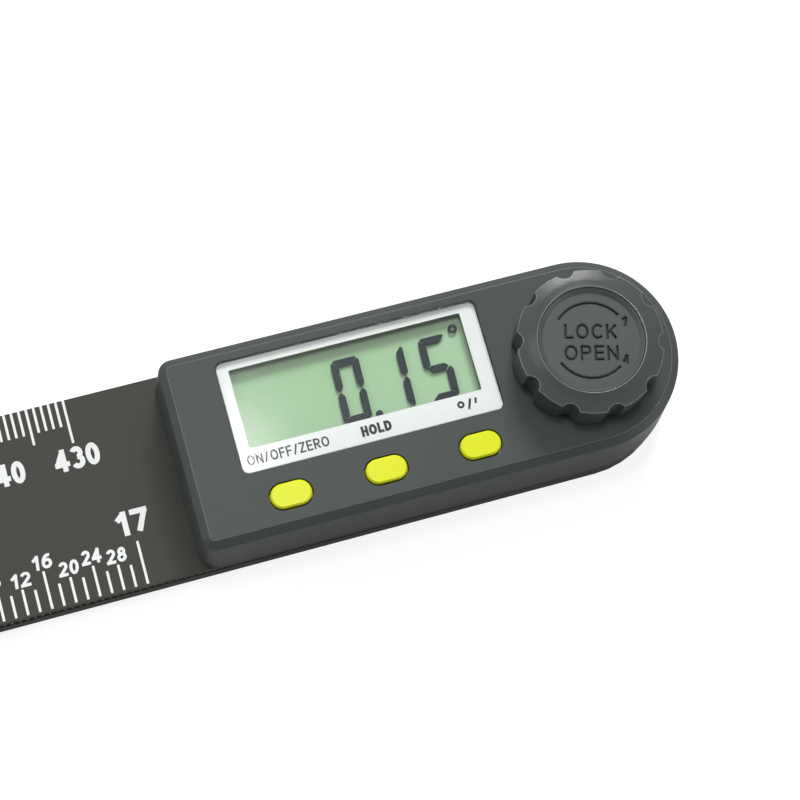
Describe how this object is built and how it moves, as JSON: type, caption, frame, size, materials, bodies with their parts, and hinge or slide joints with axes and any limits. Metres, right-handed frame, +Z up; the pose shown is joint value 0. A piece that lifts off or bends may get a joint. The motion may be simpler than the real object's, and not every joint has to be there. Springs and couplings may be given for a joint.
{
  "type": "digital angle finder",
  "caption": "Two long flat rule arms on one clamping pivot, with a digital angle display, push keys and a scalloped lock knob.",
  "frame": {"origin": "on the pivot axis, in the plane that the lower arm and the bolt's head rest on", "axes": "+Z up the pivot axis towards the knob, -X along the arms to their free ends, -Y towards the keys"},
  "size_m": [0.508, 0.0283, 0.0216],
  "materials": {
    "arm_plastic": "fine matt moulded, near black",
    "housing_plastic": "fine matt moulded, dark grey-green",
    "knob_plastic": "satin moulded, dark grey",
    "cap_plastic": "satin moulded, dark grey",
    "key_plastic": "satin, yellow-green",
    "clear_lens": "clear, polished",
    "white_print": "white print",
    "display_glass": "pale green reflective display",
    "elastomer": "striped elastomer",
    "board": "green solder resist",
    "switch_plastic": "moulded black",
    "brass": "turned",
    "white_plastic": "low-friction sheet",
    "steel": "zinc plated",
    "bright_steel": "nickel plated",
    "contact_spring": "plated spring strip"
  },
  "bodies": {
    "upper_unit": {"upper_arm": "arm_plastic", "housing_cover": "housing_plastic", "display_lens": "clear_lens", "display_mask": "white_print", "lcd_panel": "display_glass", "zebra_strip": "elastomer", "circuit_board": "board", "key_switches": "switch_plastic", "pivot_bush": "brass", "slip_washer": "white_plastic", "battery_cell": "bright_steel", "battery_holder": "switch_plastic", "battery_contact_top": "contact_spring", "battery_contact_side": "contact_spring", "housing_screws": "steel", "board_screws": "steel"},
    "lower_unit": {"lower_arm": "arm_plastic", "pivot_bolt": "steel", "spring_washer": "steel", "encoder_rotor": "board", "thrust_sleeve": "steel", "clamp_washer": "steel"},
    "knob": {"lock_knob": "knob_plastic", "knob_insert": "brass", "knob_cap": "cap_plastic"},
    "power_key_body": {"power_key": "key_plastic"},
    "hold_key_body": {"hold_key": "key_plastic"},
    "unit_key_body": {"unit_key": "key_plastic"},
    "battery_door": {"battery_cover": "arm_plastic"}
  },
  "joints": [
    {"name": "arm_pivot", "type": "hinge", "parent": "upper_unit", "child": "lower_unit", "pos_m": [0, 0, 0], "axis": [0, 0, 1], "continuous": true},
    {"name": "knob_turn", "type": "hinge", "parent": "lower_unit", "child": "knob", "pos_m": [0, 0, 0.018], "axis": [0, 0, 1], "range_deg": [0, 180]},
    {"name": "power_key_press", "type": "slide", "parent": "upper_unit", "child": "power_key_body", "axis": [0, 0, -1], "range_m": [0, 0.00035], "stiffness_N_per_m": 1500},
    {"name": "hold_key_press", "type": "slide", "parent": "upper_unit", "child": "hold_key_body", "axis": [0, 0, -1], "range_m": [0, 0.00035], "stiffness_N_per_m": 1500},
    {"name": "unit_key_press", "type": "slide", "parent": "upper_unit", "child": "unit_key_body", "axis": [0, 0, -1], "range_m": [0, 0.00035], "stiffness_N_per_m": 1500},
    {"name": "battery_cover_twist", "type": "hinge", "parent": "upper_unit", "child": "battery_door", "pos_m": [-0.036, 0, 0.004], "axis": [0, 0, 1], "range_deg": [0, 60]}
  ]
}
